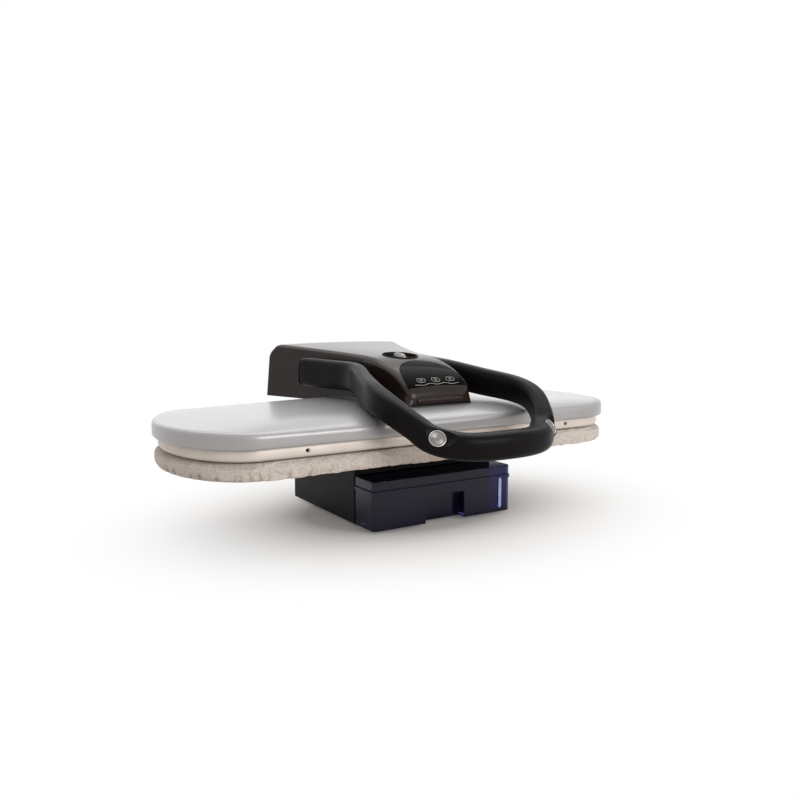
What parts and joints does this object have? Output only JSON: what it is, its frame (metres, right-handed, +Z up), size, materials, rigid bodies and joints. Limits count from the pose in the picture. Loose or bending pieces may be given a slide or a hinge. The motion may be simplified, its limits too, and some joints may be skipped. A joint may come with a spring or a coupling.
{
  "type": "steam ironing press",
  "caption": "Tabletop steam press: padded board, hinged heated lid on an arm with a dial and buttons, looped pressing handle and a slide-out water tank.",
  "frame": {"origin": "on the table, in the middle of the middle foot, under the middle of the board's depth", "axes": "+X to the user's right along the board, +Y to the rear hinge, +Z up"},
  "size_m": [0.77, 0.5375, 0.2669],
  "materials": {
    "black_plastic": "satin",
    "brown_plastic": "satin",
    "panel_gloss": "gloss",
    "handle_black": "satin",
    "silver_lid": "satin silver paint",
    "champagne_band": "satin",
    "cover_fabric": "woven",
    "pad_felt": "felt",
    "steel": "plated",
    "cast_aluminium": "cast",
    "works_plastic": "matte",
    "brass": "plain",
    "rubber": "matte",
    "foot_rubber": "matte",
    "hose_silicone": "matte",
    "tank_smoke": "clear, tinted",
    "circuit_board": "matte",
    "bright_metal": "satin"
  },
  "bodies": {
    "base": {"base_shell": "black_plastic", "base_plate": "black_plastic", "feet": "foot_rubber", "base_screws": "steel", "rear_tower": "black_plastic", "hinge_bracket": "steel", "hinge_pins": "steel", "lift_springs": "steel", "board_rails": "steel", "board_pan": "steel", "board_pad": "pad_felt", "board_cover": "cover_fabric", "pump": "works_plastic", "pump_mount": "rubber", "inlet_socket": "black_plastic", "suction_hose": "hose_silicone", "water_hose": "hose_silicone", "hose_flex": "rubber", "cord_gland": "black_plastic"},
    "tank": {"tank_tub": "tank_smoke", "tank_lid": "tank_smoke", "tank_seal": "rubber", "tank_valve": "black_plastic"},
    "head": {"lid_shell": "silver_lid", "platen_frame": "champagne_band", "frame_screws": "steel", "heat_plate": "cast_aluminium", "heating_element": "steel", "press_beam": "steel", "beam_posts": "steel", "arm_bolts": "steel", "insulation_mat": "pad_felt", "steam_chamber": "cast_aluminium", "thermostat": "brass", "steam_hose": "hose_silicone", "arm_frame": "steel", "hinge_bushes": "brass", "arm_cover": "brown_plastic", "arm_floor": "black_plastic", "rear_cap": "brown_plastic", "control_panel": "panel_gloss", "nose_trim": "brown_plastic", "dial_dish": "black_plastic", "dial_switch": "works_plastic", "control_board": "circuit_board", "shaft_bushes": "brass", "pressure_pads": "steel"},
    "handle": {"handle_loop": "handle_black", "handle_shaft": "steel", "pressure_cams": "steel", "button_rings": "bright_metal"},
    "dial": {"dial_knob": "bright_metal"},
    "left_button": {"left_button": "panel_gloss"},
    "middle_button": {"middle_button": "panel_gloss"},
    "right_button": {"right_button": "panel_gloss"},
    "left_thumb": {"left_thumb": "bright_metal"},
    "right_thumb": {"right_thumb": "bright_metal"}
  },
  "joints": [
    {"name": "lid_hinge", "type": "hinge", "parent": "base", "child": "head", "pos_m": [0, 0.205, 0.1533], "axis": [-1, 0, 0], "range_deg": [0, 45], "deforming": ["lift_springs", "hose_flex"]},
    {"name": "handle_lift", "type": "hinge", "parent": "head", "child": "handle", "pos_m": [0, 0.114, 0.2223], "axis": [-1, 0, 0], "range_deg": [0, 20]},
    {"name": "tank_slide", "type": "slide", "parent": "base", "child": "tank", "axis": [0, -1, 0], "range_m": [0, 0.15]},
    {"name": "dial_turn", "type": "hinge", "parent": "head", "child": "dial", "pos_m": [0, 0.017, 0.25382], "axis": [0, -0.1028, 0.9947], "range_deg": [0, 270]},
    {"name": "left_button_press", "type": "slide", "parent": "head", "child": "left_button", "axis": [0, 0.6321, -0.7749], "range_m": [0, 0.0015], "stiffness_N_per_m": 300, "springref_m": -0.001},
    {"name": "middle_button_press", "type": "slide", "parent": "head", "child": "middle_button", "axis": [0, 0.6321, -0.7749], "range_m": [0, 0.0015], "stiffness_N_per_m": 300, "springref_m": -0.001},
    {"name": "right_button_press", "type": "slide", "parent": "head", "child": "right_button", "axis": [0, 0.6321, -0.7749], "range_m": [0, 0.0015], "stiffness_N_per_m": 300, "springref_m": -0.001},
    {"name": "left_thumb_press", "type": "slide", "parent": "handle", "child": "left_thumb", "axis": [0.3718, 0.7622, -0.5299], "range_m": [0, 0.0015], "stiffness_N_per_m": 300, "springref_m": -0.001},
    {"name": "right_thumb_press", "type": "slide", "parent": "handle", "child": "right_thumb", "axis": [-0.3718, 0.7622, -0.5299], "range_m": [0, 0.0015], "stiffness_N_per_m": 300, "springref_m": -0.001}
  ]
}
